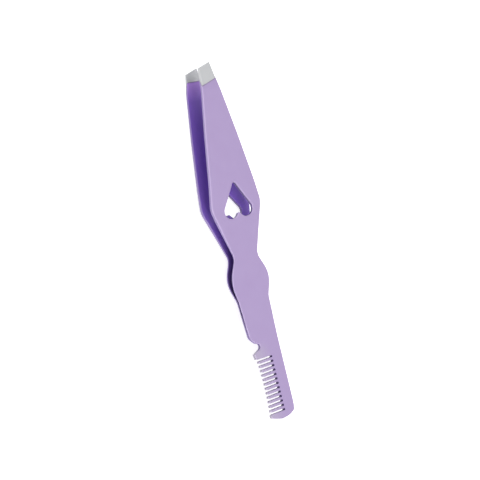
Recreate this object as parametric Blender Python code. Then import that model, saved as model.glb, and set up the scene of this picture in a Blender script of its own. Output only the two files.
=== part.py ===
"""Eyebrow tweezers: two stamped steel leaves, mirror images of each other, welded together at the tail.

Each leaf is one strip of stainless steel. Its tail carries a comb, a hooked notch and the weld, its
spring flexes between the handle and the waist, and its arm is pierced by a heart and ends in a slanted
tip that is ground flat inside. The bending of the spring is stood in for by a hinge in its middle, so
each leaf is built as a tail and an arm with a fine kerf between them.

A leaf is drawn flat, x across and y along from the tail's end to the tip, and then formed: its outer
face follows a side profile, and its thickness is taken off inwards. The two leaves lie one above the
other, front leaf up, comb teeth towards -X and tips towards +Y.
"""

import math

import bmesh
import bpy
from mathutils import Matrix, Vector

# Lengths along the leaf, one after the other from the tail's end
END_BLOCK = 0.0021
SLOT_PITCH = 0.001252
SLOT_COUNT = 13
LIP_LENGTH = 0.00211
HANDLE_LENGTH = 0.0119
BULGE_RISE_LENGTH = 0.00579
BULGE_FALL_LENGTH = 0.00611
WAIST_TO_SHOULDER = 0.01415
SHOULDER_TO_SWELL = 0.02
SWELL_TO_NECK = 0.01293
NECK_TO_TIP = 0.00715

# Widths of the leaf at its corners, before they are rounded
HANDLE_WIDTH = 0.00904
HANDLE_TOP_WIDTH = 0.0097
BULGE_WIDTH = 0.01262
WAIST_WIDTH = 0.00726
SHOULDER_WIDTH = 0.01587
SWELL_WIDTH = 0.0098
NECK_WIDTH = 0.00552
TIP_WIDTH = 0.00394

# Radii that round those corners
HANDLE_TOP_RADIUS = 0.0025
BULGE_RADIUS = 0.009
WAIST_RADIUS = 0.0037
SHOULDER_RADIUS = 0.0068
SWELL_RADIUS = 0.06
NECK_RADIUS = 0.012
TIP_CORNER_RADIUS = 0.00006

# Rounded end of the tail: a foot, a knee and a corner, from which the right side tapers out
END_LEFT_RISE = 0.00087
END_FOOT_OFFSET = 0.0002
END_FOOT_RADIUS = 0.003
END_KNEE_OFFSET = 0.0024
END_KNEE_RISE = 0.00037
END_KNEE_RADIUS = 0.005
END_RIGHT_RISE = 0.00142
END_NARROWING = 0.00027
END_CORNER_RADIUS = 0.00105
END_TAPER_LENGTH = 0.00198
END_TAPER_RADIUS = 0.016

# Comb at the tail, whose teeth slant towards its end and are shortest in the middle
SPINE_WIDTH = 0.00325
TOOTH_LENGTH = 0.00442
TOOTH_SLANT = math.radians(2.2)
COMB_HOLLOW = 0.00036
SLOT_MOUTH = 0.0006
SLOT_ROOT = 0.00052
TOOTH_TIP_RADIUS = 0.00007
BLOCK_REACH = 0.00015
BLOCK_CORNER_RADIUS = 0.00035

# Hooked notch above the comb, the heel over its mouth, and the lip between it and the comb
NOTCH_RADIUS = 0.0011
NOTCH_DEPTH = 0.00297
NOTCH_TOP_ANGLE = math.radians(30)
NOTCH_FOOT_ANGLE = math.radians(-63.4)
MOUTH_OFFSET = 0.00088
MOUTH_RISE = 0.00068
MOUTH_RADIUS = 0.0004
HEEL_OFFSET = 0.00005
HEEL_RISE = 0.00096
HEEL_RADIUS = 0.0016
LIP_REACH = 0.00078
LIP_DROP = 0.0008
LIP_TAPER = 0.0002
LIP_CORNER_RADIUS = 0.00015
FOOT_NARROWING = 0.0003
FOOT_RISE = 0.00264
FOOT_RADIUS = 0.002

# Heart through each arm, a little out of line between the front leaf and the rear one
HEART_WIDTH = 0.00895
HEART_HEIGHT = 0.01025
HEART_BELOW_SHOULDER = 0.0034
HEART_OFFSET = 0.00022
HEART_STAGGER = 0.00023
HEART_APEX_RADIUS = 0.0006
LOBE_RADIUS_SHARE = 0.236
CLEFT_DEPTH_SHARE = 0.156

# Slanted tip, and the bare steel behind it
TIP_SLANT = math.radians(20)
BARE_LENGTH = 0.005
TIP_EDGE = 0.00025
TOE_IN = math.radians(0.6)

# Side profile of a leaf's outer face, and its thickness
WELD_GAP = 0.0003
SPRING_THICKNESS = 0.0006
ARM_THICKNESS = 0.00135
TIP_THICKNESS = 0.001
THICKENING_LENGTH = 0.01
FLARE_LENGTH = 0.032
FLARE_RISE = 0.0034
ARM_RISE = 0.00085
TIP_BEND_LENGTH = 0.0076
TIP_DROP = 0.00113
FLARE_RADIUS = 0.04
ARM_BEND_RADIUS = 0.06
TIP_BEND_RADIUS = 0.015
EDGE_ROUNDING = 0.00015

# Hinge that stands in for the spring's bending: its distance past the bulge's corner, and its kerf
PIVOT_RUN = 0.0015
KERF = 0.0003

# Fineness of the facets: the most that a chord leaves its arc, in plan and in the side profile
PLAN_SAG = 0.000012
PROFILE_SAG = 0.000008
WELD_DISTANCE = 0.000001
SMOOTH_ANGLE = math.radians(35)

# Heights above the tail's end that follow from the lengths
COMB_FOOT = END_BLOCK
COMB_HEAD = COMB_FOOT + (SLOT_COUNT - 1) * SLOT_PITCH + SLOT_MOUTH
NOTCH_BOTTOM = COMB_HEAD + LIP_LENGTH
NOTCH_MIDDLE = NOTCH_BOTTOM + NOTCH_RADIUS
NOTCH_TOP = NOTCH_MIDDLE + NOTCH_RADIUS
HANDLE_TOP = NOTCH_TOP + HANDLE_LENGTH
BULGE = HANDLE_TOP + BULGE_RISE_LENGTH
WAIST = BULGE + BULGE_FALL_LENGTH
SHOULDER = WAIST + WAIST_TO_SHOULDER
SWELL = SHOULDER + SHOULDER_TO_SWELL
NECK = SWELL + SWELL_TO_NECK
TIP = NECK + NECK_TO_TIP
PIVOT = BULGE + PIVOT_RUN

# Places across the leaf that follow from the widths
HANDLE_EDGE = HANDLE_WIDTH / 2
SLOT_ROOT_X = HANDLE_EDGE - SPINE_WIDTH
TOOTH_TIP_X = SLOT_ROOT_X - TOOTH_LENGTH
BLOCK_X = TOOTH_TIP_X - BLOCK_REACH
LIP_X = TOOTH_TIP_X - LIP_REACH
NOTCH_X = NOTCH_DEPTH - NOTCH_RADIUS - HANDLE_EDGE
TIP_EDGE_LEFT = TIP - TIP_WIDTH * math.tan(TIP_SLANT)

# Corner radii of the whole outline: those of the flat face, with the edge's rounding outside them
TOOTH_CORNER = TOOTH_TIP_RADIUS + EDGE_ROUNDING
BLOCK_CORNER = BLOCK_CORNER_RADIUS + EDGE_ROUNDING
END_CORNER = END_CORNER_RADIUS + EDGE_ROUNDING
LIP_CORNER = LIP_CORNER_RADIUS + EDGE_ROUNDING
TIP_CORNER = TIP_CORNER_RADIUS + EDGE_ROUNDING

COLOURS = {
    "lavender_enamel": ((0.456, 0.362, 0.604, 1.0), 0.38, 0.0),
    "bare_steel": ((0.610, 0.615, 0.625, 1.0), 0.30, 1.0),
}


def arc(centre, radius, start, end, sag=PLAN_SAG):
    """Points of an arc from one angle to the other, with as many chords as the sag allows."""
    widest = 2 * math.acos(1 - min(sag / radius, 1))
    steps = max(1, math.ceil(abs(end - start) / widest))
    turns = [start + (end - start) * i / steps for i in range(steps + 1)]
    return [(centre[0] + radius * math.cos(t), centre[1] + radius * math.sin(t)) for t in turns]


def rounded(corners, closed, sag=PLAN_SAG):
    """Points of a line through corners (x, y, radius), each rounded as far as its sides allow."""
    points = []
    count = len(corners)
    for i, (x, y, radius) in enumerate(corners):
        here = Vector((x, y))
        inner = closed or 0 < i < count - 1
        if radius == 0 or not inner:
            points.append((x, y))
            continue
        before = Vector(corners[i - 1][:2]) - here
        after = Vector(corners[(i + 1) % count][:2]) - here
        half = before.angle(after) / 2
        reach = min(radius / math.tan(half), before.length / 2, after.length / 2)
        radius = reach * math.tan(half)
        middle = here + (before.normalized() + after.normalized()).normalized() * radius / math.sin(half)
        first = here + before.normalized() * reach - middle
        last = here + after.normalized() * reach - middle
        start = math.atan2(first.y, first.x)
        turn = math.remainder(math.atan2(last.y, last.x) - start, math.tau)
        points += arc(middle, radius, start, start + turn, sag)
    return points


def height_at(profile, y):
    """Height of a profile, a list of (y, height) points in order, at one y."""
    for (y0, z0), (y1, z1) in zip(profile, profile[1:]):
        if y <= y1:
            return z0 + (z1 - z0) * (y - y0) / (y1 - y0)
    return profile[-1][1]


def cut_at(points, low, high):
    """The stretch of a line that rises in y between two heights, with new ends just there."""
    across = [(y, x) for x, y in points]
    inside = [p for p in points if low < p[1] < high]
    return [(height_at(across, low), low), *inside, (height_at(across, high), high)]


def mirrored(points):
    """The same stretch on the leaf's left side, from top to bottom."""
    return [(-x, y) for x, y in reversed(points)]


RIGHT_SIDE = rounded(
    [
        (HANDLE_EDGE, 0, 0),
        (HANDLE_EDGE, NOTCH_TOP, HANDLE_TOP_RADIUS),
        (HANDLE_TOP_WIDTH / 2, HANDLE_TOP, HANDLE_TOP_RADIUS),
        (BULGE_WIDTH / 2, BULGE, BULGE_RADIUS),
        (WAIST_WIDTH / 2, WAIST, WAIST_RADIUS),
        (SHOULDER_WIDTH / 2, SHOULDER, SHOULDER_RADIUS),
        (SWELL_WIDTH / 2, SWELL, SWELL_RADIUS),
        (NECK_WIDTH / 2, NECK, NECK_RADIUS),
        (TIP_WIDTH / 2, TIP, 0),
    ],
    closed=False,
)

BEND = TIP - TIP_BEND_LENGTH
WELD_HEIGHT = WELD_GAP / 2 + SPRING_THICKNESS
FLARE_HEIGHT = WELD_HEIGHT + FLARE_RISE
BEND_HEIGHT = FLARE_HEIGHT + ARM_RISE
TIP_HEIGHT = BEND_HEIGHT - TIP_DROP

OUTER_FACE = rounded(
    [
        (0, WELD_HEIGHT, 0),
        (HANDLE_TOP, WELD_HEIGHT, FLARE_RADIUS),
        (HANDLE_TOP + FLARE_LENGTH, FLARE_HEIGHT, ARM_BEND_RADIUS),
        (BEND, BEND_HEIGHT, TIP_BEND_RADIUS),
        (TIP, TIP_HEIGHT, 0),
    ],
    closed=False,
    sag=PROFILE_SAG,
)

# The arms meet when each has turned about its hinge by the angle that lowers its inner tip to the middle
TIP_INNER = TIP_HEIGHT - TIP_EDGE
CLOSING_ANGLE = math.atan2(TIP_INNER, TIP - PIVOT)
GRIND_SLOPE = math.tan(CLOSING_ANGLE - TOE_IN)
GRIND_START = TIP - (TIP_THICKNESS - TIP_EDGE) / (TIP_DROP / TIP_BEND_LENGTH + GRIND_SLOPE)

THICKNESS = [
    (0, SPRING_THICKNESS),
    (WAIST, SPRING_THICKNESS),
    (WAIST + THICKENING_LENGTH, ARM_THICKNESS),
    (BEND, TIP_THICKNESS),
    (GRIND_START, TIP_THICKNESS),
    (TIP, TIP_EDGE),
]

STATIONS = sorted({y for y, _ in OUTER_FACE[1:-1]} | {y for y, _ in THICKNESS[1:-1]})
REST_HEIGHT = max(z for _, z in OUTER_FACE)
PIVOT_HEIGHT = height_at(OUTER_FACE, PIVOT) - SPRING_THICKNESS / 2


def tooth_tip(i):
    """How far across the leaf a tooth's tip lies, on the comb's hollow line, counted from the end block."""
    along = 2 * i / (SLOT_COUNT - 2) - 1
    return TOOTH_TIP_X + COMB_HOLLOW * (1 - along**2)


def comb():
    """The comb's edge from the lip down to the end block: slots with round roots between round teeth."""
    root_half = SLOT_ROOT / 2
    mouth_half = SLOT_MOUTH / 2
    drop = TOOTH_LENGTH * math.tan(TOOTH_SLANT)
    corners = []
    for i in reversed(range(SLOT_COUNT)):
        root = COMB_FOOT + i * SLOT_PITCH + mouth_half
        mouth = root - drop
        above = (LIP_X + LIP_TAPER, LIP_CORNER) if i == SLOT_COUNT - 1 else (tooth_tip(i), TOOTH_CORNER)
        below = (BLOCK_X, BLOCK_CORNER) if i == 0 else (tooth_tip(i - 1), TOOTH_CORNER)
        corners += [
            (above[0], mouth + mouth_half, above[1]),
            (SLOT_ROOT_X, root + root_half, root_half),
            (SLOT_ROOT_X, root - root_half, root_half),
            (below[0], mouth - mouth_half, below[1]),
        ]
    return corners


def tail_outline():
    """The tail's outline, from the kerf down its left side, round its end and up its right side."""
    kerf_foot = PIVOT - KERF / 2
    right = cut_at(RIGHT_SIDE, NOTCH_TOP, kerf_foot)
    handle_foot = NOTCH_MIDDLE + FOOT_RISE
    left = [p for p in mirrored(right) if p[1] > handle_foot + FOOT_RADIUS]
    notch = arc((NOTCH_X, NOTCH_MIDDLE), NOTCH_RADIUS, NOTCH_TOP_ANGLE, NOTCH_FOOT_ANGLE)
    return rounded(
        [
            *[(x, y, 0) for x, y in left],
            (FOOT_NARROWING - HANDLE_EDGE, handle_foot, FOOT_RADIUS),
            (NOTCH_X - HEEL_OFFSET, NOTCH_MIDDLE + HEEL_RISE, HEEL_RADIUS),
            (NOTCH_X + MOUTH_OFFSET, NOTCH_MIDDLE + MOUTH_RISE, MOUTH_RADIUS),
            *[(x, y, 0) for x, y in notch],
            (LIP_X, NOTCH_BOTTOM - LIP_DROP, LIP_CORNER),
            *comb(),
            (BLOCK_X, END_LEFT_RISE, BLOCK_CORNER),
            (-END_FOOT_OFFSET, 0, END_FOOT_RADIUS),
            (END_KNEE_OFFSET, END_KNEE_RISE, END_KNEE_RADIUS),
            (HANDLE_EDGE - END_NARROWING, END_RIGHT_RISE, END_CORNER),
            (HANDLE_EDGE, END_RIGHT_RISE + END_TAPER_LENGTH, END_TAPER_RADIUS),
            *[(x, y, 0) for x, y in right],
        ],
        closed=True,
    )


def arm_outline():
    """The arm's outline, from the kerf up its right side, along the slanted tip and down its left."""
    kerf_head = PIVOT + KERF / 2
    right = cut_at(RIGHT_SIDE, kerf_head, NECK)
    return rounded(
        [
            *[(x, y, 0) for x, y in right],
            (TIP_WIDTH / 2, TIP, TIP_CORNER),
            (-TIP_WIDTH / 2, TIP_EDGE_LEFT, TIP_CORNER),
            *[(x, y, 0) for x, y in mirrored(right)],
        ],
        closed=True,
    )


def heart_outline(offset):
    """A heart with its apex towards the tip: two lobes, straight flanks and a rounded cleft."""
    radius = HEART_WIDTH * LOBE_RADIUS_SHARE
    spread = HEART_WIDTH / 2 - radius
    foot = SHOULDER - HEART_BELOW_SHOULDER
    lobe_y = foot + radius
    apex = foot + HEART_HEIGHT
    to_apex = Vector((-spread, apex - lobe_y))
    flank = math.atan2(to_apex.y, to_apex.x) - math.acos(radius / to_apex.length)
    rise = radius - HEART_WIDTH * CLEFT_DEPTH_SHARE
    cleft_radius = (spread**2 + rise**2 - radius**2) / (2 * (radius - rise))
    cleft = math.atan2(rise + cleft_radius, spread)
    lobe = arc((spread, lobe_y), radius, flank, cleft - math.pi)
    ridge = arc((0, lobe_y - rise - cleft_radius), cleft_radius, cleft, math.pi - cleft)
    corners = [
        (0, apex, HEART_APEX_RADIUS),
        *[(x, y, 0) for x, y in lobe],
        *[(x, y, 0) for x, y in ridge[1:-1]],
        *[(-x, y, 0) for x, y in reversed(lobe)],
    ]
    return [(x + offset, y) for x, y in rounded(corners, closed=True)]


def flat_blank(name, outlines):
    """A flat blank with rounded edges, stamped from its outlines, as thick as the arm all over."""
    curve = bpy.data.curves.new(name, "CURVE")
    curve.dimensions = "2D"
    curve.fill_mode = "BOTH"
    curve.extrude = ARM_THICKNESS / 2 - EDGE_ROUNDING
    curve.bevel_depth = EDGE_ROUNDING
    curve.bevel_resolution = 0
    curve.offset = -EDGE_ROUNDING
    for points in outlines:
        spline = curve.splines.new("POLY")
        spline.points.add(len(points) - 1)
        for point, (x, y) in zip(spline.points, points):
            point.co = (x, y, 0, 1)
        spline.use_cyclic_u = True
    drawn = bpy.data.objects.new(name, curve)
    bpy.context.scene.collection.objects.link(drawn)
    seen = drawn.evaluated_get(bpy.context.evaluated_depsgraph_get())
    mesh = bpy.data.meshes.new_from_object(seen)
    bpy.data.objects.remove(drawn)
    bpy.data.curves.remove(curve)
    return mesh


def form(mesh, side):
    """Bends a flat blank to the side profile and draws its thickness, for one side of the pair."""
    work = bmesh.new()
    work.from_mesh(mesh)
    bmesh.ops.remove_doubles(work, verts=work.verts, dist=WELD_DISTANCE)
    for y in STATIONS:
        everything = [*work.verts, *work.edges, *work.faces]
        bmesh.ops.bisect_plane(
            work, geom=everything, dist=WELD_DISTANCE, plane_co=(0, y, 0), plane_no=(0, 1, 0)
        )
    mask_normal = Vector((-math.sin(TIP_SLANT), math.cos(TIP_SLANT), 0))
    everything = [*work.verts, *work.edges, *work.faces]
    bmesh.ops.bisect_plane(
        work,
        geom=everything,
        dist=WELD_DISTANCE,
        plane_co=(TIP_WIDTH / 2, TIP - BARE_LENGTH, 0),
        plane_no=mask_normal,
    )
    for face in work.faces:
        middle = face.calc_center_median()
        past_mask = (middle - Vector((TIP_WIDTH / 2, TIP - BARE_LENGTH, 0))).dot(mask_normal) > 0
        inner_face = middle.z < 0 and face.normal.z < 0
        face.material_index = int(middle.y > GRIND_START if inner_face else past_mask)
    for vertex in work.verts:
        depth = 1 / 2 - vertex.co.z / ARM_THICKNESS
        outer = height_at(OUTER_FACE, vertex.co.y)
        vertex.co.z = side * (outer - depth * height_at(THICKNESS, vertex.co.y))
    if side < 0:
        bmesh.ops.reverse_faces(work, faces=work.faces)
    work.to_mesh(mesh)
    work.free()
    mesh.shade_smooth()
    mesh.set_sharp_from_angle(angle=SMOOTH_ANGLE)


def make_material(name):
    """A Principled material with the finish's colour, roughness and metallic value."""
    colour, roughness, metallic = COLOURS[name]
    material = bpy.data.materials.new(name)
    material.use_nodes = True
    shader = material.node_tree.nodes["Principled BSDF"]
    shader.inputs["Base Color"].default_value = colour
    shader.inputs["Roughness"].default_value = roughness
    shader.inputs["Metallic"].default_value = metallic
    material.diffuse_color = colour
    return material


def add_piece(name, outlines, side, origin, finishes, collection, parent):
    """One formed piece in its own object, whose own origin lies at a point of the leaf's drawing."""
    mesh = flat_blank(name, outlines)
    form(mesh, side)
    mesh.transform(Matrix.Translation(-origin))
    for finish in finishes:
        mesh.materials.append(finish)
    piece = bpy.data.objects.new(name, mesh)
    piece.location = origin
    piece.parent = parent
    collection.objects.link(piece)


def build():
    """Both leaves, stood so that the pair's box has its bottom centre at the world's origin."""
    for old in list(bpy.data.objects):
        bpy.data.objects.remove(old)
    collection = bpy.data.collections.new("eyebrow_tweezers")
    bpy.context.scene.collection.children.link(collection)

    tail = tail_outline()
    arm = arm_outline()
    lowest = min(y for _, y in tail)
    highest = max(y for _, y in arm)
    frame = bpy.data.objects.new("weld_plane", None)
    frame.empty_display_size = WELD_HEIGHT
    frame.location = (0, -(lowest + highest) / 2, REST_HEIGHT)
    collection.objects.link(frame)

    finishes = [make_material("lavender_enamel"), make_material("bare_steel")]
    handle_middle = (NOTCH_TOP + HANDLE_TOP) / 2
    for leaf, side in (("front", 1), ("rear", -1)):
        heart = heart_outline(HEART_OFFSET + side * HEART_STAGGER)
        weld = Vector((0, handle_middle, side * WELD_GAP / 2))
        hinge = Vector((0, PIVOT, side * PIVOT_HEIGHT))
        add_piece(leaf + "_tail", [tail], side, weld, finishes, collection, frame)
        add_piece(leaf + "_arm", [arm, heart], side, hinge, finishes, collection, frame)


build()
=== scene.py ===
"""Looks of the eyebrow tweezers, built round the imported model.

Each leaf is worked out flat, as it is before it is formed: x across it and y along it from the comb's end,
both in millimetres, and a depth share that runs from 0 on the outer face to 1 on the inner one. Its outline
is a line of rounded corners. The rim is an edge profile carried along that line, and the faces are filled
between the rim's rings. The flat leaf is then parted along the edge of the enamel and formed, which gives
each place its height above the plane where the two leaves are welded.
"""

import math

import bmesh
import bpy
import numpy as np
from mathutils import Matrix, Vector, geometry


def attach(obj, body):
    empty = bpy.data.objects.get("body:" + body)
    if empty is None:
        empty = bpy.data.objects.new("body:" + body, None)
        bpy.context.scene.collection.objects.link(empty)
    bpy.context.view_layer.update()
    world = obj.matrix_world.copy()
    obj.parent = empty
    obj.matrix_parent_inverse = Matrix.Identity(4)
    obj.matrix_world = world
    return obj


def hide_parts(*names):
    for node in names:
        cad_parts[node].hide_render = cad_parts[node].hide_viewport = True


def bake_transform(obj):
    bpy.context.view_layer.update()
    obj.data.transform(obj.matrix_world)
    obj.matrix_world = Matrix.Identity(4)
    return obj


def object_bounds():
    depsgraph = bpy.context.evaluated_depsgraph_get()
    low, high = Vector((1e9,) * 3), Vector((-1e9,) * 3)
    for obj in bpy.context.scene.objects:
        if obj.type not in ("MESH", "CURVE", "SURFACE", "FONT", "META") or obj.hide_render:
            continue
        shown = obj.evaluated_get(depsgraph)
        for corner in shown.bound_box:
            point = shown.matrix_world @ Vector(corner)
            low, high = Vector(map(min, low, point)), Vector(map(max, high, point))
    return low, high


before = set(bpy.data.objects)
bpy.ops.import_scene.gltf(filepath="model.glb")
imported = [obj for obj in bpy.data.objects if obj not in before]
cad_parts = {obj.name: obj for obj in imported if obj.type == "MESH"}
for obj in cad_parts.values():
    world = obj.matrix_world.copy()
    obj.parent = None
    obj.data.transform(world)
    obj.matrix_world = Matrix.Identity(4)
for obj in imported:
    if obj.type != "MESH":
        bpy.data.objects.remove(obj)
CAD_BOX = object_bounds()

MM = 0.001

# Lengths along a leaf, in millimetres, one after the other from the comb's end
END_LEFT_RISE = 0.87
END_KNEE_RISE = 0.37
END_RIGHT_RISE = 1.42
END_TAPER_LENGTH = 1.98
END_BLOCK = 2.1
SLOT_PITCH = 1.252
SLOT_COUNT = 13
LIP_LENGTH = 2.11
HANDLE_LENGTH = 11.9
BULGE_RISE_LENGTH = 5.79
BULGE_FALL_LENGTH = 6.11
WAIST_TO_SHOULDER = 14.15
SHOULDER_TO_SWELL = 20.0
SWELL_TO_NECK = 12.93
NECK_TO_TIP = 7.15

# Widths of a leaf at its corners
HANDLE_WIDTH = 9.04
HANDLE_TOP_WIDTH = 9.7
BULGE_WIDTH = 12.62
WAIST_WIDTH = 7.26
SHOULDER_WIDTH = 15.854
SHOULDER_TRIM = {"front": 0.0, "rear": 0.35}
SWELL_WIDTH = 9.9
NECK_WIDTH = 5.52
TIP_WIDTH = 3.94

# Radii that round those corners
HANDLE_TOP_RADIUS = 2.5
BULGE_RADIUS = 9.0
WAIST_RADIUS = 3.7
SHOULDER_RADIUS = 6.8
SWELL_RADIUS = 60.0
NECK_RADIUS = 12.0
TIP_CORNER_RADIUS = 0.21

# Comb
SPINE_WIDTH = 3.25
TOOTH_LENGTH = 4.42
TOOTH_SLANT = math.radians(2.2)
COMB_HOLLOW = 0.36
SLOT_MOUTH = 0.6
SLOT_ROOT = 0.52
TOOTH_CORNER_RADIUS = 0.2
BLOCK_REACH = 0.15
BLOCK_CORNER_RADIUS = 0.5
END_FOOT_X = -0.2
END_FOOT_RADIUS = 3.0
END_KNEE_X = 2.4
END_KNEE_RADIUS = 5.0
END_NARROWING = 0.27
END_CORNER_RADIUS = 1.2
END_TAPER_RADIUS = 16.0

# Hooked notch, with its mouth's two corners measured from its centre, and the lip between it and the comb
NOTCH_RADIUS = 1.1
NOTCH_DEPTH = 2.97
NOTCH_TOP_ANGLE = math.radians(30)
NOTCH_FOOT_ANGLE = math.radians(-63.4)
NOTCH_CORNERS = 6
MOUTH_TOP = (0.88, 0.68)
MOUTH_RADIUS = 0.4
LIP_REACH = 0.78
LIP_DROP = 0.8
LIP_TAPER = 0.2
LIP_CORNER_RADIUS = 0.3
FOOT_NARROWING = 0.3
FOOT_RISE = 2.64
FOOT_RADIUS = 2.0
HEEL = (-0.05, 0.96)
HEEL_RADIUS = 1.6

# Heart through each arm
HEART_WIDTH = 8.95
HEART_HEIGHT = 10.25
HEART_BELOW_SHOULDER = 3.4
HEART_OFFSETS = {"front": 0.45, "rear": 0.0}
HEART_APEX_RADIUS = 0.6
LOBE_RADIUS_SHARE = 0.236
CLEFT_DEPTH_SHARE = 0.156

# Slanted tip, and where the enamel ends behind it
TIP_SLANT = math.radians(20)
BARE_LENGTH = 5.0
TIP_EDGE = 0.25
TOE_IN = math.radians(0.6)

# Side profile of the outer face, and thickness
WELD_GAP = 0.3
WELD_SEAM = 0.1
SEAM_OPENING_LENGTH = 10.0
SEAM_OPEN_LENGTH = 3.0
SEAM_OPEN_THICKNESS = 0.5
SPRING_START_THICKNESS = 0.58
SPRING_THICKNESS = 0.6
ARM_THICKNESS = 1.35
TIP_THICKNESS = 1.0
THICKENING_LENGTH = 10.0
FLARE_LENGTH = 32.0
FLARE_RISE = 3.4
ARM_RISE = 0.84
TIP_BEND_LENGTH = 7.6
TIP_DROP = 1.13
BULGE_RISE = 1.0
WAIST_RISE = 1.25
FLARE_RADIUS = 20.0
BULGE_BEND_RADIUS = 30.0
ARM_BEND_RADIUS = 60.0
TIP_BEND_RADIUS = 15.0

# Rounding of the stamped edges: the outer one is tumbled rounder than the inner one
OUTER_ROUNDING = 0.32
COMB_ROUNDING = 0.12
INNER_ROUNDING = 0.2
HEART_ROUNDING = 0.24
ROUNDING_SHARE = 0.3

# Thickness of the enamel, and how far the tip's steel runs on under it
ENAMEL_THICKNESS = 0.04
TIP_TONGUE = 0.3

# Reach of the enamel's tints: the dark line at its end, the painted light on the inner face behind it, the
# inner face's edge
DARK_LINE_WIDTH = 0.35
PALE_START = 0.3
PALE_END = 5.5
INNER_EDGE_WIDTH = 0.09

# Depth shares between which the painted highlight on the outer edge and the colour of the cut edge set in
RIM_START_SHARE = 0.005
RIM_FULL_SHARE = 0.05
EDGE_START_SHARE = 0.16
EDGE_FULL_SHARE = 0.34

# Zones of the walls that little light reaches, and how dark two of them are beside the slots' roots
HEART_ZONE_SHARE = 0.62
ZONE_MARGIN = 0.5
HEART_SHADE = 0.75
NOTCH_SHADE = 0.45

# Grain of the finishes, in counts to the millimetre, and the depth of its relief in millimetres
PEEL_RIPPLES = 1.6
SPRAY_CLOUDS = 0.22
PEEL_DEPTH = 0.02
GRIND_LINES = 12.0
GRIND_STROKES = 0.5
GRIND_DEPTH = 0.01

# Hinge that stands in for the spring
PIVOT_RUN = 1.5

# Fineness of the meshes, and the inset of the rings that hold the faces flat up to the rounding
ARC_POINTS = 11
HEART_ARC_POINTS = 33
RIM_STEP = 0.4
FACE_STEP = 0.9
FACE_CLEARANCE = 0.4
ROUND_STEPS = 5
HOLD = 0.04
CREASE_ANGLE = math.radians(50)

# Lengths that count as nothing, where a line is divided or cut and where a face is filled
TINY = 1e-6
FILL_TINY = 1e-7

# Camera: how far along the leaf it aims, its direction from there and its distance in metres, and its lens
AIM_LENGTH = 49.9
CAMERA_AZIMUTH = math.radians(29.95)
CAMERA_ELEVATION = math.radians(0.107)
CAMERA_ROLL = math.radians(-13.604)
CAMERA_DISTANCE = 0.31996
FOCAL_LENGTH = 87.11
SENSOR_WIDTH = 36.0
LENS_SHIFT = (0.0017, 0.0054)
NEAREST_SEEN = 0.01
FURTHEST_SEEN = 10.0

# Surroundings: the light of the world, and the floor with its half width and the gap to it in metres
WORLD_LIGHT = 0.1
FLOOR_GLOW = 0.8
FLOOR_REACH = 1.5
FLOOR_GAP = 0.00002

# Softboxes that face the tweezers: name, place and size in metres, and power in watts
SOFTBOXES = [
    ("overhead", (0, 0, 1.0), 0.8, 5.55),
    ("foot", (0, -0.75, 0.75), 0.5, 4.2),
    ("top", (0.1, 0.9, 0.45), 0.4, 2.2),
    ("side", (-1.0, -0.15, 0.18), 0.22, 4.0),
]

# Places along and across a leaf that follow from those sizes
COMB_HEAD = END_BLOCK + (SLOT_COUNT - 1) * SLOT_PITCH + SLOT_MOUTH
NOTCH_BOTTOM = COMB_HEAD + LIP_LENGTH
NOTCH_MIDDLE = NOTCH_BOTTOM + NOTCH_RADIUS
NOTCH_TOP = NOTCH_MIDDLE + NOTCH_RADIUS
HANDLE_TOP = NOTCH_TOP + HANDLE_LENGTH
BULGE = HANDLE_TOP + BULGE_RISE_LENGTH
WAIST = BULGE + BULGE_FALL_LENGTH
SHOULDER = WAIST + WAIST_TO_SHOULDER
SWELL = SHOULDER + SHOULDER_TO_SWELL
NECK = SWELL + SWELL_TO_NECK
TIP = NECK + NECK_TO_TIP
BEND = TIP - TIP_BEND_LENGTH
PIVOT = BULGE + PIVOT_RUN
HANDLE_EDGE = HANDLE_WIDTH / 2
SLOT_ROOT_X = HANDLE_EDGE - SPINE_WIDTH
TOOTH_TIP_X = SLOT_ROOT_X - TOOTH_LENGTH
LIP_X = TOOTH_TIP_X - LIP_REACH
NOTCH_X = NOTCH_DEPTH - NOTCH_RADIUS - HANDLE_EDGE


def unit(vectors):
    """Vectors divided by their lengths."""
    return vectors / np.linalg.norm(vectors, axis=-1, keepdims=True)


def rounded(corners, closed=True):
    """A line of corners (x, y, radius) as points, with the normals on the line's right-hand side.

    Each corner becomes the arc that touches both its sides, at most half a side away from it. A point of
    the arc is its centre plus the radius times (cos, sin) of its angle, and its normal is that same
    direction, turned round where the line bends to the right.
    """
    corners = np.asarray(corners, float)
    here, radius = corners[:, :2], corners[:, 2]
    back, ahead = np.roll(here, 1, 0) - here, np.roll(here, -1, 0) - here
    room = np.minimum(np.linalg.norm(back, axis=1), np.linalg.norm(ahead, axis=1)) / 2
    back, ahead = unit(back), unit(ahead)
    half = np.arccos(np.clip((back * ahead).sum(1), -1, 1)) / 2
    reach = np.minimum(radius / np.tan(half), room)
    if not closed:
        reach[[0, -1]] = 0
    radius = reach * np.tan(half)
    centre = here + unit(back + ahead) * (radius / np.sin(half))[:, None]
    first = here + back * reach[:, None] - centre
    last = here + ahead * reach[:, None] - centre
    start = np.arctan2(first[:, 1], first[:, 0])
    sweep = np.arctan2(last[:, 1], last[:, 0]) - start
    sweep = (sweep + math.pi) % math.tau - math.pi
    angle = start[:, None] + sweep[:, None] * np.linspace(0, 1, ARC_POINTS)
    ray = np.stack([np.cos(angle), np.sin(angle)], -1)
    bend = np.sign(back[:, 1] * ahead[:, 0] - back[:, 0] * ahead[:, 1])
    points = centre[:, None] + ray * radius[:, None, None]
    return points.reshape(-1, 2), (ray * bend[:, None, None]).reshape(-1, 2)


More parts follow.
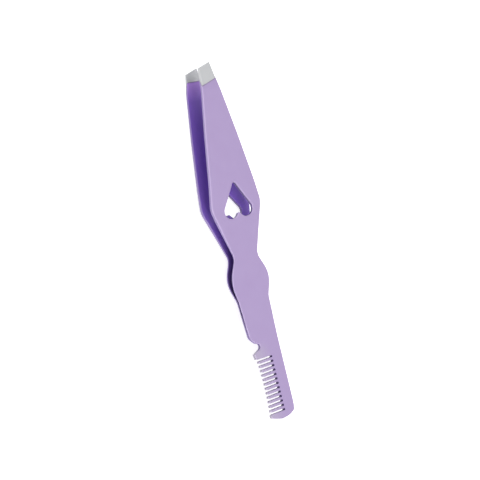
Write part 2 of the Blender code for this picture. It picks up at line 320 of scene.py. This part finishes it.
def evenly(points, normals, step):
    """A closed line with further points on its long sides, so that none is longer than the step."""
    ahead, turned = np.roll(points, -1, 0), np.roll(normals, -1, 0)
    length = np.linalg.norm(ahead - points, axis=1)
    kept = length > TINY
    points, normals, ahead, turned = points[kept], normals[kept], ahead[kept], turned[kept]
    parts = np.ceil(length[kept] / step).astype(int)
    side = np.repeat(np.arange(len(points)), parts)
    count = np.arange(len(side)) - np.repeat(np.cumsum(parts) - parts, parts)
    share = (count / parts[side])[:, None]
    blended = normals[side] * (1 - share) + turned[side] * share
    return points[side] * (1 - share) + ahead[side] * share, unit(blended)


def leaf_outline(trim):
    """The leaf's outline, counter-clockwise: right side, slanted tip, left side, notch, comb and end.

    The left side mirrors the right one down to the handle's top, and the right shoulder lies a trim further
    in. The notch is a polygon of rounded corners about its centre. The teeth end on a parabola, which makes
    the comb a little hollow, and each slot slants from its mouth up to a round root.
    """
    right = [
        (HANDLE_EDGE, END_RIGHT_RISE + END_TAPER_LENGTH, END_TAPER_RADIUS),
        (HANDLE_EDGE, NOTCH_TOP, HANDLE_TOP_RADIUS),
        (HANDLE_TOP_WIDTH / 2, HANDLE_TOP, HANDLE_TOP_RADIUS),
        (BULGE_WIDTH / 2, BULGE, BULGE_RADIUS),
        (WAIST_WIDTH / 2, WAIST, WAIST_RADIUS),
        (SHOULDER_WIDTH / 2, SHOULDER, SHOULDER_RADIUS),
        (SWELL_WIDTH / 2, SWELL, SWELL_RADIUS),
        (NECK_WIDTH / 2, NECK, NECK_RADIUS),
    ]
    tip = [
        (TIP_WIDTH / 2, TIP, TIP_CORNER_RADIUS),
        (-TIP_WIDTH / 2, TIP - TIP_WIDTH * math.tan(TIP_SLANT), TIP_CORNER_RADIUS),
    ]
    left = [(-x, y, radius) for x, y, radius in reversed(right) if y >= HANDLE_TOP]
    right = [(x - trim * (y == SHOULDER), y, radius) for x, y, radius in right]
    step = (NOTCH_FOOT_ANGLE - NOTCH_TOP_ANGLE) / NOTCH_CORNERS
    apart = NOTCH_RADIUS / math.cos(step / 2)
    turns = NOTCH_TOP_ANGLE + step * (np.arange(NOTCH_CORNERS) + 1 / 2)
    notch = [
        (FOOT_NARROWING - HANDLE_EDGE, NOTCH_MIDDLE + FOOT_RISE, FOOT_RADIUS),
        (NOTCH_X + HEEL[0], NOTCH_MIDDLE + HEEL[1], HEEL_RADIUS),
        (NOTCH_X + MOUTH_TOP[0], NOTCH_MIDDLE + MOUTH_TOP[1], MOUTH_RADIUS),
        *[
            (NOTCH_X + apart * math.cos(turn), NOTCH_MIDDLE + apart * math.sin(turn), NOTCH_RADIUS)
            for turn in turns
        ],
        (LIP_X, NOTCH_BOTTOM - LIP_DROP, LIP_CORNER_RADIUS),
    ]
    along = np.linspace(-1, 1, SLOT_COUNT - 1)
    hollow = TOOTH_TIP_X + COMB_HOLLOW * (1 - along**2)
    block_x = TOOTH_TIP_X - BLOCK_REACH
    tips = [block_x, *hollow, LIP_X + LIP_TAPER]
    corners = [BLOCK_CORNER_RADIUS, *[TOOTH_CORNER_RADIUS] * (SLOT_COUNT - 1), LIP_CORNER_RADIUS]
    drop = TOOTH_LENGTH * math.tan(TOOTH_SLANT)
    comb = []
    for i in reversed(range(SLOT_COUNT)):
        root = END_BLOCK + i * SLOT_PITCH + SLOT_MOUTH / 2
        comb += [
            (tips[i + 1], root - drop + SLOT_MOUTH / 2, corners[i + 1]),
            (SLOT_ROOT_X, root + SLOT_ROOT / 2, SLOT_ROOT / 2),
            (SLOT_ROOT_X, root - SLOT_ROOT / 2, SLOT_ROOT / 2),
            (tips[i], root - drop - SLOT_MOUTH / 2, corners[i]),
        ]
    end = [
        (block_x, END_LEFT_RISE, BLOCK_CORNER_RADIUS),
        (END_FOOT_X, 0, END_FOOT_RADIUS),
        (END_KNEE_X, END_KNEE_RISE, END_KNEE_RADIUS),
        (HANDLE_EDGE - END_NARROWING, END_RIGHT_RISE, END_CORNER_RADIUS),
    ]
    return evenly(*rounded([*right, *tip, *left, *notch, *comb, *end]), RIM_STEP)


def heart_outline(offset):
    """The heart, clockwise from its apex, so that the steel is on the line's left as it is outside.

    Each lobe is a circle that the straight flank from the apex touches, and a smaller circle that touches
    both lobes rounds the cleft between them.
    """
    radius = HEART_WIDTH * LOBE_RADIUS_SHARE
    spread = HEART_WIDTH / 2 - radius
    foot = SHOULDER - HEART_BELOW_SHOULDER
    lobe_y = foot + radius
    height = HEART_HEIGHT - radius
    flank = math.atan2(height, -spread) - math.acos(radius / math.hypot(spread, height))
    rise = radius - HEART_WIDTH * CLEFT_DEPTH_SHARE
    cleft_radius = (spread**2 + rise**2 - radius**2) / (2 * (radius - rise))
    cleft = math.atan2(rise + cleft_radius, spread)
    apex_y = lobe_y + height - HEART_APEX_RADIUS / math.sin(flank)
    arcs = [
        (0, apex_y, HEART_APEX_RADIUS, math.pi - flank, flank, -1),
        (spread, lobe_y, radius, flank, cleft - math.pi, -1),
        (0, lobe_y - rise - cleft_radius, cleft_radius, cleft, math.pi - cleft, 1),
        (-spread, lobe_y, radius, -cleft, -math.pi - flank, -1),
    ]
    x, y, size, start, stop, bend = np.array(arcs).T[:, :, None]
    angle = start + (stop - start) * np.linspace(0, 1, HEART_ARC_POINTS)
    ray = np.stack([np.cos(angle), np.sin(angle)], -1)
    points = np.stack([x + offset + 0 * angle, y + 0 * angle], -1) + size[..., None] * ray
    return evenly(points.reshape(-1, 2), (ray * bend[..., None]).reshape(-1, 2), RIM_STEP)


# Side profile: the outer face's height above the weld plane along the leaf
WELD_HEIGHT = WELD_GAP / 2 + SPRING_THICKNESS
FLARE_HEIGHT = WELD_HEIGHT + FLARE_RISE
BEND_HEIGHT = FLARE_HEIGHT + ARM_RISE
TIP_HEIGHT = BEND_HEIGHT - TIP_DROP
PROFILE = rounded(
    [
        (0, WELD_HEIGHT, 0),
        (HANDLE_TOP, WELD_HEIGHT, FLARE_RADIUS),
        (BULGE, WELD_HEIGHT + BULGE_RISE, BULGE_BEND_RADIUS),
        (WAIST, WELD_HEIGHT + WAIST_RISE, BULGE_BEND_RADIUS),
        (HANDLE_TOP + FLARE_LENGTH, FLARE_HEIGHT, ARM_BEND_RADIUS),
        (BEND, BEND_HEIGHT, TIP_BEND_RADIUS),
        (TIP, TIP_HEIGHT, 0),
    ],
    closed=False,
)[0]

# The inner face of the tip is ground to the slope at which the closed tips meet
CLOSING_ANGLE = math.atan2(TIP_HEIGHT - TIP_EDGE, TIP - PIVOT)
GRIND_SLOPE = TIP_DROP / TIP_BEND_LENGTH + math.tan(CLOSING_ANGLE - TOE_IN)
GRIND_START = TIP - (TIP_THICKNESS - TIP_EDGE) / GRIND_SLOPE
SEAM_THICKNESS = WELD_HEIGHT - WELD_SEAM / 2
THICKNESS = np.array(
    [
        (0, SEAM_THICKNESS),
        (HANDLE_TOP - SEAM_OPENING_LENGTH, SEAM_THICKNESS),
        (HANDLE_TOP - SEAM_OPEN_LENGTH, SEAM_OPEN_THICKNESS),
        (HANDLE_TOP, SPRING_START_THICKNESS),
        (BULGE, SPRING_THICKNESS),
        (WAIST, SPRING_THICKNESS),
        (WAIST + THICKENING_LENGTH, ARM_THICKNESS),
        (BEND, TIP_THICKNESS),
        (GRIND_START, TIP_THICKNESS),
        (TIP, TIP_EDGE),
    ]
)


def outer_height(y):
    """Height of the outer face above the weld plane: the side profile read off at y."""
    return np.interp(y, PROFILE[:, 0], PROFILE[:, 1])


def thickness(y):
    """Thickness of a leaf at y, read off the thickness line."""
    return np.interp(y, THICKNESS[:, 0], THICKNESS[:, 1])


def edge_rounding(y, most):
    """Radius of an edge: small from the comb to the notch, and at most a share of the thickness."""
    risen = np.interp(y, [NOTCH_MIDDLE, HANDLE_TOP], [COMB_ROUNDING, most])
    return np.minimum(risen, thickness(y) * ROUNDING_SHARE)


def rim_rings(points, normals, most):
    """The rim round one outline: rings of (x, y, depth share) from the outer face's edge to the inner's.

    At an angle t from 0 to 90 degrees the outer edge lies its radius times (1 - sin t) inside the outline
    and its radius times (1 - cos t) deep. The inner edge is the same, upside down, with a smaller radius.
    A first and a last ring a little further in hold the faces flat up to the rounding.
    """
    y = points[:, 1]
    deep = thickness(y)
    outer = edge_rounding(y, most)
    inner = edge_rounding(y, INNER_ROUNDING)
    turn = np.linspace(0, math.pi / 2, ROUND_STEPS + 1)[:, None]
    inset = np.concatenate(
        [
            [outer + HOLD],
            outer * (1 - np.sin(turn)),
            inner * (1 - np.cos(turn)),
            [inner + HOLD],
        ]
    )
    depth = np.concatenate(
        [
            [0 * deep],
            outer * (1 - np.cos(turn)) / deep,
            1 - inner * (1 - np.sin(turn)) / deep,
            [0 * deep + 1],
        ]
    )
    place = points - inset[..., None] * normals
    return np.concatenate([place, depth[..., None]], -1)


def inside(points, line):
    """Whether points lie inside a closed line: a ray to the right crosses it an odd number of times."""
    x, y = points[:, None, 0], points[:, None, 1]
    start, stop = line, np.roll(line, -1, 0)
    crossed = (start[:, 1] > y) != (stop[:, 1] > y)
    rise = np.where(stop[:, 1] == start[:, 1], 1, stop[:, 1] - start[:, 1])
    at = start[:, 0] + (y - start[:, 1]) * (stop[:, 0] - start[:, 0]) / rise
    return (crossed & (x < at)).sum(1) % 2 == 1


def face_points(outline, heart):
    """Points of a triangular lattice that lie on the steel and clear of its edges."""
    rows = np.arange(0, TIP, FACE_STEP * math.sqrt(3) / 2)
    columns = np.arange(-SHOULDER_WIDTH / 2, SHOULDER_WIDTH / 2, FACE_STEP)
    x = columns + (np.arange(len(rows)) % 2)[:, None] * FACE_STEP / 2
    lattice = np.stack([x, rows[:, None] + 0 * x], -1).reshape(-1, 2)
    lattice = lattice[inside(lattice, outline) & ~inside(lattice, heart)]
    edge = np.concatenate([outline, heart])
    apart = np.linalg.norm(lattice[:, None] - edge, axis=-1).min(1)
    return lattice[apart > FACE_CLEARANCE]


def flat_leaf(leaf):
    """The flat leaf as vertices (x, y, depth share) and a list of faces.

    The rims round the outline and the heart are grids of rings. The outer face is the Delaunay
    triangulation between their first rings, with lattice points in between, and the inner face is the same
    triangles seen from the other side, between their last rings.
    """
    rims = [
        rim_rings(*leaf_outline(SHOULDER_TRIM[leaf]), OUTER_ROUNDING),
        rim_rings(*heart_outline(HEART_OFFSETS[leaf]), HEART_ROUNDING),
    ]
    quads, first, last = [], [], []
    base = 0
    for rim in rims:
        rings, around = rim.shape[:2]
        index = base + np.arange(rings * around).reshape(rings, around)
        ahead = np.roll(index, -1, 1)
        quads.append(np.stack([index[:-1], index[1:], ahead[1:], ahead[:-1]], -1).reshape(-1, 4))
        first.append(index[0])
        last.append(index[-1])
        base += rings * around
    edges = [rim[0, :, :2] for rim in rims]
    lattice = face_points(*edges)
    flat = np.concatenate([*edges, lattice])
    sides = [np.arange(len(edge)) for edge in edges]
    sides[1] = sides[1] + len(edges[0])
    borders = np.concatenate([np.stack([side, np.roll(side, -1)], -1) for side in sides])
    # The 1 leaves out the triangles beyond the outline, and those over the heart go after it
    places = [Vector(point) for point in flat]
    solved = geometry.delaunay_2d_cdt(places, borders.tolist(), [], 1, FILL_TINY)
    triangles = np.array(solved[2])
    middle = flat[triangles].mean(1)
    triangles = triangles[~inside(middle, edges[1])]
    inner_start = base + len(lattice)
    upper = np.concatenate([*first, np.arange(base, inner_start)])
    lower = np.concatenate([*last, np.arange(inner_start, inner_start + len(lattice))])
    level = np.zeros((len(lattice), 1))
    vertices = np.concatenate(
        [
            *[rim.reshape(-1, 3) for rim in rims],
            np.concatenate([lattice, level], 1),
            np.concatenate([lattice, level + 1], 1),
        ]
    )
    faces = [*np.concatenate(quads).tolist(), *upper[triangles].tolist()]
    faces += lower[triangles][:, ::-1].tolist()
    return vertices, faces


def enamel_end(place):
    """How far along the leaf the enamel ends at a place (x, y, depth share).

    On the outer face it ends on a line that is parallel to the slanted tip, on the inner face where the
    grinding starts, and on the edges it runs straight from the one to the other.
    """
    outer = TIP - BARE_LENGTH + (place[:, 0] - TIP_WIDTH / 2) * math.tan(TIP_SLANT)
    return outer + (GRIND_START - outer) * place[:, 2]


def parted(vertices, faces, shift, keep_tail):
    """One side of the flat leaf, cut where y is the enamel's end plus a shift, and closed by a cap.

    Each vertex is first moved along y by the place of the cut, which makes that place a plane, and is moved
    back once it is cut. The depth share is turned round meanwhile, so that the outer face is on top.
    """
    straight = vertices * (1, 1, -1)
    straight[:, 1] -= enamel_end(vertices) + shift
    mesh = bpy.data.meshes.new("flat")
    mesh.from_pydata(straight.tolist(), [], faces)
    work = bmesh.new()
    work.from_mesh(mesh)
    cut = bmesh.ops.bisect_plane(
        work,
        geom=[*work.verts, *work.edges, *work.faces],
        dist=TINY,
        plane_co=(0, 0, 0),
        plane_no=(0, 1, 0),
        clear_outer=keep_tail,
        clear_inner=not keep_tail,
    )
    rim = [item for item in cut["geom_cut"] if isinstance(item, bmesh.types.BMEdge)]
    bmesh.ops.edgenet_fill(work, edges=rim)
    bmesh.ops.recalc_face_normals(work, faces=work.faces)
    work.to_mesh(mesh)
    work.free()
    place = np.zeros(3 * len(mesh.vertices))
    mesh.vertices.foreach_get("co", place)
    place = place.reshape(-1, 3) * (1, 1, -1)
    place[:, 1] += enamel_end(place) + shift
    kept = [list(face.vertices) for face in mesh.polygons]
    bpy.data.meshes.remove(mesh)
    return place, kept


def formed(place, side):
    """Where places (x, y, depth share) lie once the leaf is formed, in metres in the model's frame.

    The height is that of the outer face less the depth share of the thickness, to the side of the weld
    plane on which the leaf lies.
    """
    x, y, share = place.T
    height = side * (outer_height(y) - share * thickness(y))
    return np.stack([x * MM, y * MM + ALONG, height * MM + WELD_PLANE], -1)


def recess(place):
    """How little light reaches a place: 1 at the slots' roots, less in the heart and notch, and else 0."""
    x, y = place[:, 0], place[:, 1]
    foot = SHOULDER - HEART_BELOW_SHOULDER
    heart = abs(x) < HEART_WIDTH * HEART_ZONE_SHARE
    heart &= (y > foot - ZONE_MARGIN) & (y < foot + HEART_HEIGHT + ZONE_MARGIN)
    notch = (x > NOTCH_X) & (x < 0) & (y > NOTCH_BOTTOM) & (y < NOTCH_TOP)
    comb = (y > END_BLOCK) & (y < COMB_HEAD)
    roots = comb & (abs(x - SLOT_ROOT_X) < ZONE_MARGIN) & (place[:, 2] > RIM_START_SHARE)
    return np.select([roots, heart, notch], [1.0, HEART_SHADE, NOTCH_SHADE])


def comb_share(place):
    """How far out on the comb a place lies, from 0 on the spine to 1 at the teeth's tips.

    It fades to 0 over the height of the notch.
    """
    out = np.clip((SLOT_ROOT_X - place[:, 0]) / TOOTH_LENGTH, 0, 1)
    return out * np.clip((NOTCH_TOP - place[:, 1]) / NOTCH_RADIUS / 2, 0, 1)


def add_attribute(mesh, name, values):
    """One number for each vertex, kept on the mesh for its material."""
    kept = mesh.attributes.new(name, "FLOAT", "POINT")
    kept.data.foreach_set("value", np.ascontiguousarray(values))


def add_leaf_piece(name, place, faces, side, finish, shrink=0.0):
    """A mesh object for one piece of a leaf, let in by a shrink in millimetres under its own surface.

    Its attributes keep each vertex's place on the flat leaf in millimetres, and what follows from that
    place for the finish.
    """
    if side < 0:
        faces = [face[::-1] for face in faces]
    mesh = bpy.data.meshes.new(name)
    mesh.from_pydata(formed(place, side).tolist(), [], faces)
    if shrink:
        normals = np.zeros(3 * len(place))
        mesh.vertex_normals.foreach_get("vector", normals)
        points = formed(place, side) - shrink * MM * normals.reshape(-1, 3)
        mesh.vertices.foreach_set("co", points.ravel())
    flat = place.copy()
    flat[:, 2] *= -thickness(place[:, 1])
    blank = mesh.attributes.new("blank", "FLOAT_VECTOR", "POINT")
    blank.data.foreach_set("vector", flat.ravel())
    add_attribute(mesh, "depth_share", place[:, 2])
    add_attribute(mesh, "to_inner_face", (1 - place[:, 2]) * thickness(place[:, 1]))
    add_attribute(mesh, "to_enamel_end", enamel_end(place) - place[:, 1])
    add_attribute(mesh, "recess", recess(place))
    add_attribute(mesh, "comb_share", comb_share(place))
    mesh.shade_smooth()
    mesh.set_sharp_from_angle(angle=CREASE_ANGLE)
    mesh.materials.append(finish)
    piece = bpy.data.objects.new(name, mesh)
    bpy.context.scene.collection.objects.link(piece)
    return piece


def linear(code):
    """Linear colour of an sRGB hex code."""
    shades = np.array([int(code[i : i + 2], 16) for i in (0, 2, 4)]) / 255
    shades = np.where(shades > 0.04045, ((shades + 0.055) / 1.055) ** 2.4, shades / 12.92)
    return (*shades.tolist(), 1.0)


def add_node(tree, kind, links=(), **settings):
    """A node with its settings, an input's name or number giving its value, and links into its inputs."""
    node = tree.nodes.new("ShaderNode" + kind)
    for name, value in settings.items():
        if name.startswith("input_"):
            key = name[6:].replace("_", " ")
            node.inputs[int(key) if key.isdigit() else key].default_value = value
        else:
            setattr(node, name, value)
    for key, source in dict(links).items():
        tree.links.new(source, node.inputs[key])
    return node


def new_finish(name):
    """A new material and its node tree, which starts empty."""
    finish = bpy.data.materials.new(name)
    finish.use_nodes = True
    finish.node_tree.nodes.clear()
    return finish, finish.node_tree


def baked_enamel():
    """Stoving enamel, sprayed and baked on steel: a satin coat with the faint ripple of orange peel.

    The faces are lavender, in faint clouds 4 to 5 mm wide where the spray lay thicker, and greyer out on the
    comb. Their outer edge has a paler line, a painted highlight. The cut edges are a little deeper than the
    faces, pale at the teeth, and carry painted shade where less light reaches them. The inner faces carry
    painted shade, as they face each other: darkest in the narrow gap of the handle, with painted light just
    behind the bare tip. A dark line borders the bare steel, where the coat ends.
    """
    finish, tree = new_finish("baked_enamel")

    # Lavender in faint clouds, and the orange peel, whose ripples are about 0.6 mm wide
    blank = add_node(tree, "Attribute", attribute_name="blank")
    peel = add_node(
        tree,
        "TexNoise",
        {"Vector": blank.outputs["Vector"]},
        input_Scale=PEEL_RIPPLES,
        input_Detail=2.0,
    )
    cloud = add_node(
        tree,
        "TexNoise",
        {"Vector": blank.outputs["Vector"]},
        input_Scale=SPRAY_CLOUDS,
        input_Detail=2.0,
    )
    bump = add_node(
        tree,
        "Bump",
        {"Height": peel.outputs["Fac"]},
        input_Strength=0.12,
        input_Distance=PEEL_DEPTH * MM,
    )
    tint = add_node(
        tree,
        "Mix",
        {"Factor": cloud.outputs["Fac"]},
        data_type="RGBA",
        input_6=linear("AD98C6"),
        input_7=linear("B29ECB"),
    )

    # Greyer out on the comb
    outward = add_node(tree, "Attribute", attribute_name="comb_share")
    comb_fade = add_node(
        tree, "MapRange", {"Value": outward.outputs["Fac"]}, input_To_Min=0.0, input_To_Max=0.6
    )
    comb_greyed = add_node(
        tree,
        "Mix",
        {"Factor": comb_fade.outputs["Result"], 6: tint.outputs[2]},
        data_type="RGBA",
        input_7=linear("BCB4C6"),
    )

    # Painted highlight: a paler line along the rounded outer edge
    depth = add_node(tree, "Attribute", attribute_name="depth_share")
    highlight_band = add_node(
        tree,
        "MapRange",
        {"Value": depth.outputs["Fac"]},
        interpolation_type="SMOOTHSTEP",
        input_From_Min=RIM_START_SHARE,
        input_From_Max=RIM_FULL_SHARE,
    )
    rim = add_node(
        tree,
        "Mix",
        {"Factor": highlight_band.outputs["Result"], 6: comb_greyed.outputs[2]},
        data_type="RGBA",
        input_7=linear("C3B0DA"),
    )

    # The cut edge: pale at the teeth, and with painted shade in the heart, in the notch and most at the
    # slots' roots, which alone have a recess of more than 0.8
    plain = add_node(
        tree,
        "Mix",
        {"Factor": outward.outputs["Fac"]},
        data_type="RGBA",
        input_6=linear("9882BE"),
        input_7=linear("CCC4D6"),
    )
    recessed = add_node(tree, "Attribute", attribute_name="recess")
    wall = add_node(
        tree,
        "Mix",
        {"Factor": recessed.outputs["Fac"], 6: plain.outputs[2]},
        data_type="RGBA",
        input_7=linear("4A2480"),
    )
    edge = add_node(
        tree,
        "MapRange",
        {"Value": depth.outputs["Fac"]},
        interpolation_type="SMOOTHSTEP",
        input_From_Min=EDGE_START_SHARE,
        input_From_Max=EDGE_FULL_SHARE,
    )
    side = add_node(
        tree,
        "Mix",
        {"Factor": edge.outputs["Result"], 6: rim.outputs[2], 7: wall.outputs[2]},
        data_type="RGBA",
    )
    rooted = add_node(
        tree, "MapRange", {"Value": recessed.outputs["Fac"]}, input_From_Min=0.8, input_From_Max=1.0
    )
    walls = add_node(
        tree,
        "Mix",
        {"Factor": rooted.outputs["Result"], 6: side.outputs[2]},
        data_type="RGBA",
        input_7=linear("3E2068"),
    )

    # The inner face, with painted shade between the leaves: darkest in the handle's gap, lighter as the
    # leaves part, and with painted light behind the tip
    to_inner = add_node(tree, "Attribute", attribute_name="to_inner_face")
    inward = add_node(
        tree,
        "MapRange",
        {"Value": to_inner.outputs["Fac"]},
        interpolation_type="SMOOTHSTEP",
        input_From_Min=0.0,
        input_From_Max=INNER_EDGE_WIDTH,
        input_To_Min=1.0,
        input_To_Max=0.0,
    )
    along = add_node(tree, "SeparateXYZ", {"Vector": blank.outputs["Vector"]})
    opened = add_node(
        tree,
        "MapRange",
        {"Value": along.outputs["Y"]},
        input_From_Min=HANDLE_TOP,
        input_From_Max=WAIST + THICKENING_LENGTH,
    )
    shaded = add_node(
        tree,
        "Mix",
        {"Factor": opened.outputs["Result"]},
        data_type="RGBA",
        input_6=linear("3E2E62"),
        input_7=linear("8C6ACC"),
    )
    # Painted light: the inner face is paler just behind the bare tip
    to_end = add_node(tree, "Attribute", attribute_name="to_enamel_end")
    near_tip = add_node(
        tree,
        "MapRange",
        {"Value": to_end.outputs["Fac"]},
        input_From_Min=PALE_START,
        input_From_Max=PALE_END,
        input_To_Min=1.0,
        input_To_Max=0.0,
    )
    lit_behind_tip = add_node(
        tree,
        "Mix",
        {"Factor": near_tip.outputs["Result"], 6: shaded.outputs[2]},
        data_type="RGBA",
        input_7=linear("CA9FF6"),
    )
    # The inner face takes the colour with the painted shade and painted light of the gap between the leaves
    deeper = add_node(
        tree,
        "Mix",
        {"Factor": inward.outputs["Result"], 6: walls.outputs[2], 7: lit_behind_tip.outputs[2]},
        data_type="RGBA",
    )

    # The dark line where the coat ends, darker on the inner face
    margin = add_node(
        tree,
        "MapRange",
        {"Value": to_end.outputs["Fac"]},
        interpolation_type="SMOOTHSTEP",
        input_From_Min=0.0,
        input_From_Max=DARK_LINE_WIDTH,
        input_To_Min=0.6,
        input_To_Max=0.0,
    )
    end_line_tone = add_node(
        tree,
        "Mix",
        {"Factor": inward.outputs["Result"]},
        data_type="RGBA",
        input_6=linear("6A6074"),
        input_7=linear("231E28"),
    )
    edged = add_node(
        tree,
        "Mix",
        {"Factor": margin.outputs["Result"], 6: deeper.outputs[2], 7: end_line_tone.outputs[2]},
        data_type="RGBA",
    )
    shader = add_node(
        tree,
        "BsdfPrincipled",
        {"Base Color": edged.outputs[2], "Normal": bump.outputs["Normal"]},
        input_Roughness=0.34,
        input_IOR=1.5,
    )
    add_node(tree, "OutputMaterial", {"Surface": shader.outputs["BSDF"]})
    return finish


def ground_steel():
    """Stainless steel, ground and left bare: an even satin grey with fine lines along the leaf.

    The lines lie about 0.08 mm apart and are 2 mm long, as a fine belt leaves them. The edges and the ground
    inner face are duller and a little darker than the outer face, the darkness partly painted shade from the
    gap between the leaves.
    """
    finish, tree = new_finish("ground_steel")
    blank = add_node(tree, "Attribute", attribute_name="blank")
    stretched = add_node(
        tree,
        "Mapping",
        {"Vector": blank.outputs["Vector"]},
        input_Scale=(GRIND_LINES, GRIND_STROKES, GRIND_LINES),
    )
    lines = add_node(
        tree, "TexNoise", {"Vector": stretched.outputs["Vector"]}, input_Scale=1.0, input_Detail=3.0
    )
    bump = add_node(
        tree,
        "Bump",
        {"Height": lines.outputs["Fac"]},
        input_Strength=0.2,
        input_Distance=GRIND_DEPTH * MM,
    )
    depth = add_node(tree, "Attribute", attribute_name="depth_share")
    # Darker grey on the edges and inner face: partly painted shade from the gap between the leaves
    grey = add_node(
        tree,
        "Mix",
        {"Factor": depth.outputs["Fac"]},
        data_type="RGBA",
        input_6=linear("B5B6B8"),
        input_7=linear("A2A3A6"),
    )
    rough = add_node(
        tree, "MapRange", {"Value": depth.outputs["Fac"]}, input_To_Min=0.34, input_To_Max=0.5
    )
    shader = add_node(
        tree,
        "BsdfPrincipled",
        {
            "Base Color": grey.outputs[2],
            "Roughness": rough.outputs["Result"],
            "Normal": bump.outputs["Normal"],
        },
        input_Metallic=1.0,
    )
    add_node(tree, "OutputMaterial", {"Surface": shader.outputs["BSDF"]})
    return finish


def add_camera():
    """The photograph's camera, above the front leaf and to its left, aimed at a place on the middle line.

    Its axes to the right and above are those of an upright camera, turned by the roll about its direction.
    """
    target = Vector((0, AIM_LENGTH * MM + ALONG, WELD_PLANE))
    level = math.cos(CAMERA_ELEVATION)
    away = Vector(
        (
            -math.sin(CAMERA_AZIMUTH) * level,
            math.sin(CAMERA_ELEVATION),
            math.cos(CAMERA_AZIMUTH) * level,
        )
    )
    across = (-away).cross(Vector((0, 1, 0))).normalized()
    upward = across.cross(-away)
    right = across * math.cos(CAMERA_ROLL) + upward * math.sin(CAMERA_ROLL)
    above = upward * math.cos(CAMERA_ROLL) - across * math.sin(CAMERA_ROLL)
    turned = Matrix((right, above, away)).transposed().to_4x4()
    lens = bpy.data.cameras.new("camera")
    lens.sensor_width = SENSOR_WIDTH
    lens.lens = FOCAL_LENGTH
    lens.shift_x, lens.shift_y = LENS_SHIFT
    lens.clip_start, lens.clip_end = NEAREST_SEEN, FURTHEST_SEEN
    camera = bpy.data.objects.new("camera", lens)
    camera.matrix_world = Matrix.Translation(target + away * CAMERA_DISTANCE) @ turned
    bpy.context.scene.collection.objects.link(camera)
    bpy.context.scene.camera = camera


def add_softbox(name, place, size, power):
    """A square area lamp at a place, turned to the tweezers at the origin."""
    lamp = bpy.data.lights.new(name, "AREA")
    lamp.size = size
    lamp.energy = power
    box = bpy.data.objects.new(name, lamp)
    box.location = place
    box.rotation_euler = (Vector() - Vector(place)).to_track_quat("-Z", "Y").to_euler()
    bpy.context.scene.collection.objects.link(box)


def seen_or_mirrored(tree):
    """A factor that is 1 for what the camera sees, straight, mirrored or through glass, and else 0."""
    path = add_node(tree, "LightPath")
    seen = path.outputs["Is Camera Ray"]
    for kind in ("Is Glossy Ray", "Is Transmission Ray"):
        seen = add_node(tree, "Math", {0: seen, 1: path.outputs[kind]}, operation="MAXIMUM").outputs[0]
    return seen


def add_surroundings():
    """A world that is seen white and gives little light, and the floor that the tweezers lie on.

    The floor is matte white paper. It takes their shadow, and the glow that lifts it to white is only for
    what the camera sees straight or in a reflection.
    """
    world = bpy.data.worlds.new("surroundings")
    bpy.context.scene.world = world
    world.use_nodes = True
    tree = world.node_tree
    tree.nodes.clear()
    shown = seen_or_mirrored(tree)
    light = add_node(tree, "Background", input_Color=(1, 1, 1, 1), input_Strength=WORLD_LIGHT)
    white = add_node(tree, "Background", input_Color=(1, 1, 1, 1), input_Strength=1.0)
    mixed = add_node(tree, "MixShader", {0: shown, 1: light.outputs[0], 2: white.outputs[0]})
    add_node(tree, "OutputWorld", {"Surface": mixed.outputs[0]})

    mesh = bpy.data.meshes.new("floor")
    corners = FLOOR_REACH * np.array([(-1, -1), (1, -1), (1, 1), (-1, 1)])
    mesh.from_pydata([(x, y, LOW.z - FLOOR_GAP) for x, y in corners], [], [(0, 1, 2, 3)])
    paper, tree = new_finish("white_paper")
    shown = seen_or_mirrored(tree)
    matte = add_node(tree, "BsdfDiffuse", input_Color=linear("E2E2E2"))
    glow = add_node(tree, "Emission", input_Color=(1, 1, 1, 1), input_Strength=FLOOR_GLOW)
    lit = add_node(tree, "AddShader", {0: matte.outputs[0], 1: glow.outputs[0]})
    mixed = add_node(tree, "MixShader", {0: shown, 1: matte.outputs[0], 2: lit.outputs[0]})
    add_node(tree, "OutputMaterial", {"Surface": mixed.outputs[0]})
    mesh.materials.append(paper)
    floor = bpy.data.objects.new("floor", mesh)
    bpy.context.scene.collection.objects.link(floor)


# Where the flat leaf lies in the model's frame
LOW, HIGH = CAD_BOX
WELD_PLANE = (LOW.z + HIGH.z) / 2
FLAT = {leaf: flat_leaf(leaf) for leaf in HEART_OFFSETS}
ALONG = LOW.y - FLAT["front"][0][:, 1].min() * MM

# Each leaf is one enamelled piece and a bare tip, which runs in under it
ENAMEL = baked_enamel()
STEEL = ground_steel()
for leaf, side in (("front", 1), ("rear", -1)):
    tail_part = parted(*FLAT[leaf], 0.0, keep_tail=True)
    tip_part = parted(*FLAT[leaf], -TIP_TONGUE, keep_tail=False)
    coat = add_leaf_piece(leaf + "_leaf", *tail_part, side, ENAMEL)
    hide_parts(leaf + "_tail", leaf + "_arm")
    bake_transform(coat)
    tip = add_leaf_piece(leaf + "_tip", *tip_part, side, STEEL, ENAMEL_THICKNESS)
    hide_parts(leaf + "_arm")
    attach(tip, leaf + "_arm")

add_camera()
add_surroundings()
for softbox in SOFTBOXES:
    add_softbox(*softbox)
bpy.context.scene.view_settings.view_transform = "Standard"
